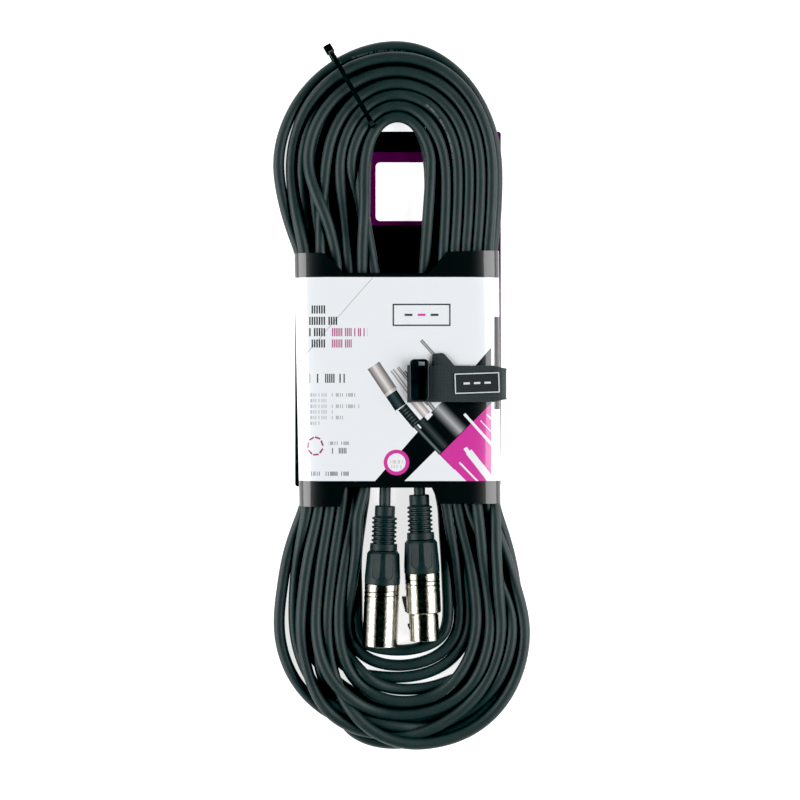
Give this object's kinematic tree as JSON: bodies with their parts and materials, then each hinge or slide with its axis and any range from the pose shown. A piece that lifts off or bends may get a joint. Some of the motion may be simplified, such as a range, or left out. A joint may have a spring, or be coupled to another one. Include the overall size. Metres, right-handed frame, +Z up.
{
  "type": "xlr cable coil",
  "caption": "Long microphone cable with XLR connectors, coiled into a hank held by a card sleeve, a cable tie and a hook-and-loop strap, with a hang-hole card.",
  "frame": {"origin": "middle of the base of the whole hank, on the surface that it lies on", "axes": "+Z up out of the printed front, +Y along the hank towards the hang hole, +X to the right seen from the front"},
  "size_m": [0.141, 0.384, 0.0205],
  "materials": {
    "cable_jacket": "matte, faintly sheened PVC jacket",
    "nickel_shell": "satin nickel plate over die casting",
    "insert_plastic": "moulded black",
    "contact_metal": "plated contacts",
    "chuck_plastic": "moulded",
    "bushing_plastic": "satin moulded black",
    "boot_rubber": "soft ribbed rubber",
    "wire_copper": "bare twisted screen",
    "wire_red": "insulated",
    "wire_white": "insulated",
    "latch_metal": "nickel plated",
    "spring_steel": "bright",
    "printed_card": "printed and gloss laminated",
    "strap_webbing": "woven loop pile",
    "buckle_plastic": "polished black",
    "label_print": "printed patch",
    "tie_nylon": "black nylon"
  },
  "bodies": {
    "root": {"cable_coil": "cable_jacket", "cable_tail_male": "cable_jacket", "cable_tail_female": "cable_jacket", "male_shell": "nickel_shell", "male_insert": "insert_plastic", "male_pin_1": "contact_metal", "male_pin_2": "contact_metal", "male_pin_3": "contact_metal", "male_chuck": "chuck_plastic", "male_shield_wire": "wire_copper", "male_hot_wire": "wire_red", "male_cold_wire": "wire_white", "female_shell": "nickel_shell", "female_insert": "insert_plastic", "female_socket_1": "contact_metal", "female_socket_2": "contact_metal", "female_socket_3": "contact_metal", "latch_pin": "spring_steel", "latch_spring": "spring_steel", "female_chuck": "chuck_plastic", "female_shield_wire": "wire_copper", "female_hot_wire": "wire_red", "female_cold_wire": "wire_white", "back_card": "printed_card", "card_sleeve": "printed_card", "tie_strap": "strap_webbing", "strap_buckle": "buckle_plastic", "strap_label": "label_print", "zip_tie": "tie_nylon"},
    "latch": {"female_latch": "latch_metal"},
    "male_relief": {"male_boot": "boot_rubber"},
    "male_collar": {"male_bushing": "bushing_plastic"},
    "female_relief": {"female_boot": "boot_rubber"},
    "female_collar": {"female_bushing": "bushing_plastic"}
  },
  "joints": [
    {"name": "latch_press", "type": "hinge", "parent": "root", "child": "latch", "pos_m": [0.00542, -0.10728, 0.0097], "axis": [0, 0, 1], "range_deg": [0, 4], "stiffness_Nm_per_rad": 0.05, "springref_deg": -17.19},
    {"name": "male_boot_slide", "type": "slide", "parent": "root", "child": "male_relief", "axis": [0.0379, 0.9993, 0], "range_m": [0, 0.006]},
    {"name": "male_bushing_turn", "type": "hinge", "parent": "male_relief", "child": "male_collar", "pos_m": [-0.00943, -0.09753, 0.0097], "axis": [0.0379, 0.9993, 0], "range_deg": [0, 1440]},
    {"name": "female_boot_slide", "type": "slide", "parent": "root", "child": "female_relief", "axis": [-0.0379, 0.9993, 0], "range_m": [0, 0.006]},
    {"name": "female_bushing_turn", "type": "hinge", "parent": "female_relief", "child": "female_collar", "pos_m": [0.01173, -0.09153, 0.0097], "axis": [-0.0379, 0.9993, 0], "range_deg": [0, 1440]}
  ],
  "couplings": [
    {"joint": "male_boot_slide", "follows": "male_bushing_turn", "m_per_rad": 0.00023873},
    {"joint": "female_boot_slide", "follows": "female_bushing_turn", "m_per_rad": 0.00023873}
  ]
}
